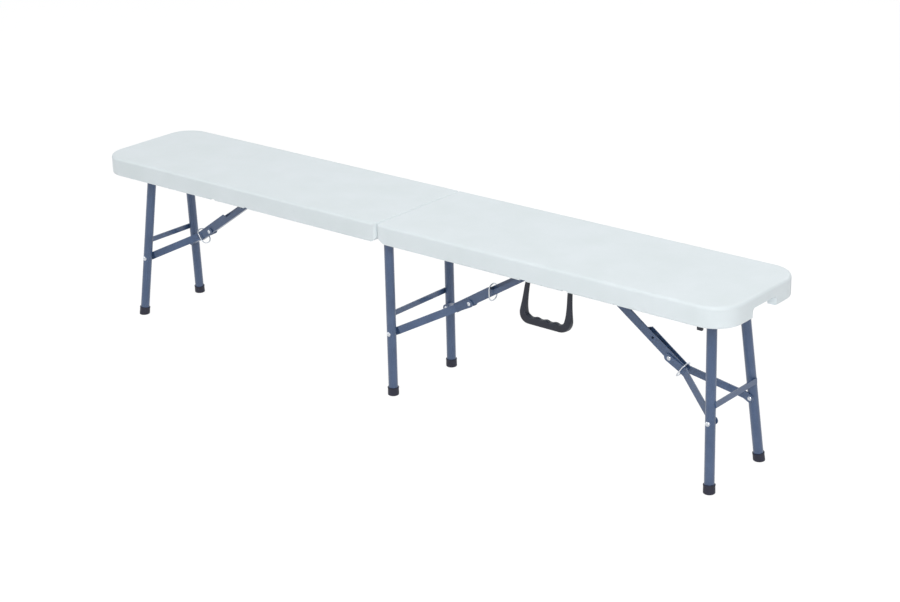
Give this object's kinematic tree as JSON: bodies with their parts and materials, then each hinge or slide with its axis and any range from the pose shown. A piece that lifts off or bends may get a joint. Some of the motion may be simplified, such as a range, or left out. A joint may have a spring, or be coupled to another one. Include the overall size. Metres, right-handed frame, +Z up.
{
  "type": "folding bench",
  "caption": "Long moulded bench that folds at the middle, on three folding tube leg frames with braces, lock rings and a carrying handle.",
  "frame": {"origin": "floor point under the middle hinge, half-way between the front and back edges", "axes": "+X along the bench from the hinge to the half with the handle, +Y from the front edge to the back edge, +Z up"},
  "size_m": [1.83, 0.3, 0.43],
  "materials": {
    "top": "fine-grained moulded polyethylene",
    "leg_tube": "semi-gloss powder coat",
    "brace": "semi-gloss powder coat",
    "foot": "moulded cap",
    "black_plastic": "moulded",
    "ring_wire": "bright zinc plate",
    "fastener": "bright zinc plate",
    "sheet_steel": "zinc plate"
  },
  "bodies": {
    "right_half": {"top_half_right": "top", "hinge_leaves_right": "sheet_steel", "brace_bracket_right": "sheet_steel", "brace_pins_right": "fastener", "screws_right": "fastener", "handle_pins": "fastener", "closing_hook": "black_plastic", "centre_saddles": "sheet_steel", "right_saddles": "sheet_steel"},
    "left_half": {"top_half_left": "top", "hinge_leaves_left": "sheet_steel", "hinge_pins": "fastener", "brace_bracket_left": "sheet_steel", "brace_pins_left": "fastener", "screws_left": "fastener", "left_saddles": "sheet_steel"},
    "handle": {"handle": "black_plastic"},
    "left_legs": {"left_front_leg": "leg_tube", "left_rear_leg": "leg_tube", "left_front_foot": "foot", "left_rear_foot": "foot", "left_pivot_tube": "leg_tube", "left_cross_bar": "leg_tube", "left_leg_rivets": "fastener"},
    "left_link": {"left_brace_link": "brace", "left_apex_pin": "fastener"},
    "left_arms": {"left_front_arm": "brace", "left_rear_arm": "brace", "left_apex_heads": "fastener"},
    "left_ring": {"left_lock_ring": "ring_wire"},
    "centre_legs": {"centre_front_leg": "leg_tube", "centre_rear_leg": "leg_tube", "centre_front_foot": "foot", "centre_rear_foot": "foot", "centre_pivot_tube": "leg_tube", "centre_cross_bar": "leg_tube", "centre_leg_rivets": "fastener"},
    "centre_link": {"centre_brace_link": "brace", "centre_apex_pin": "fastener"},
    "centre_arms": {"centre_front_arm": "brace", "centre_rear_arm": "brace", "centre_apex_heads": "fastener"},
    "centre_ring": {"centre_lock_ring": "ring_wire"},
    "right_legs": {"right_front_leg": "leg_tube", "right_rear_leg": "leg_tube", "right_front_foot": "foot", "right_rear_foot": "foot", "right_pivot_tube": "leg_tube", "right_cross_bar": "leg_tube", "right_leg_rivets": "fastener"},
    "right_link": {"right_brace_link": "brace", "right_apex_pin": "fastener"},
    "right_arms": {"right_front_arm": "brace", "right_rear_arm": "brace", "right_apex_heads": "fastener"},
    "right_ring": {"right_lock_ring": "ring_wire"}
  },
  "joints": [
    {"name": "centre_fold", "type": "hinge", "parent": "right_half", "child": "left_half", "pos_m": [0, 0, 0.383], "axis": [0, -1, 0], "range_deg": [0, 180]},
    {"name": "handle_swing", "type": "hinge", "parent": "right_half", "child": "handle", "pos_m": [0.467, -0.135, 0.391], "axis": [-1, 0, 0], "range_deg": [0, 82]},
    {"name": "left_leg_fold", "type": "hinge", "parent": "left_half", "child": "left_legs", "pos_m": [-0.827, 0, 0.403], "axis": [0, -1, 0], "range_deg": [0, 93.88]},
    {"name": "left_link_fold", "type": "hinge", "parent": "left_half", "child": "left_link", "pos_m": [-0.448, 0, 0.403], "axis": [0, 1, 0], "range_deg": [0, 34.47]},
    {"name": "left_arm_fold", "type": "hinge", "parent": "left_legs", "child": "left_arms", "pos_m": [-0.84576, 0, 0.151], "axis": [0, -1, 0], "range_deg": [0, 59.52]},
    {"name": "left_ring_slide", "type": "slide", "parent": "left_link", "child": "left_ring", "axis": [0.8168, 0, 0.5769], "range_m": [0, 0.2]},
    {"name": "centre_leg_fold", "type": "hinge", "parent": "right_half", "child": "centre_legs", "pos_m": [0.018, 0, 0.403], "axis": [0, -1, 0], "range_deg": [0, 92.42]},
    {"name": "centre_link_fold", "type": "hinge", "parent": "right_half", "child": "centre_link", "pos_m": [0.43, 0, 0.403], "axis": [0, 1, 0], "range_deg": [0, 28.77]},
    {"name": "centre_arm_fold", "type": "hinge", "parent": "centre_legs", "child": "centre_arms", "pos_m": [-0.00121, 0, 0.153], "axis": [0, -1, 0], "range_deg": [0, 63.95]},
    {"name": "centre_ring_slide", "type": "slide", "parent": "centre_link", "child": "centre_ring", "axis": [0.8495, 0, 0.5275], "range_m": [0, 0.19]},
    {"name": "right_leg_fold", "type": "hinge", "parent": "right_half", "child": "right_legs", "pos_m": [0.827, 0, 0.403], "axis": [0, 1, 0], "range_deg": [0, 93.88]},
    {"name": "right_link_fold", "type": "hinge", "parent": "right_half", "child": "right_link", "pos_m": [0.448, 0, 0.403], "axis": [0, -1, 0], "range_deg": [0, 34.47]},
    {"name": "right_arm_fold", "type": "hinge", "parent": "right_legs", "child": "right_arms", "pos_m": [0.84576, 0, 0.151], "axis": [0, 1, 0], "range_deg": [0, 59.52]},
    {"name": "right_ring_slide", "type": "slide", "parent": "right_link", "child": "right_ring", "axis": [-0.8168, 0, 0.5769], "range_m": [0, 0.2]}
  ],
  "couplings": [
    {"joint": "handle_swing", "follows": "centre_fold", "ratio": 0.45556},
    {"joint": "left_leg_fold", "follows": "centre_fold", "ratio": 0.52153},
    {"joint": "left_link_fold", "follows": "centre_fold", "ratio": 0.19147},
    {"joint": "left_arm_fold", "follows": "centre_fold", "ratio": 0.33064},
    {"joint": "centre_leg_fold", "follows": "centre_fold", "ratio": 0.51342},
    {"joint": "centre_link_fold", "follows": "centre_fold", "ratio": 0.15983},
    {"joint": "centre_arm_fold", "follows": "centre_fold", "ratio": 0.35528},
    {"joint": "right_leg_fold", "follows": "centre_fold", "ratio": 0.52153},
    {"joint": "right_link_fold", "follows": "centre_fold", "ratio": 0.19147},
    {"joint": "right_arm_fold", "follows": "centre_fold", "ratio": 0.33064}
  ]
}
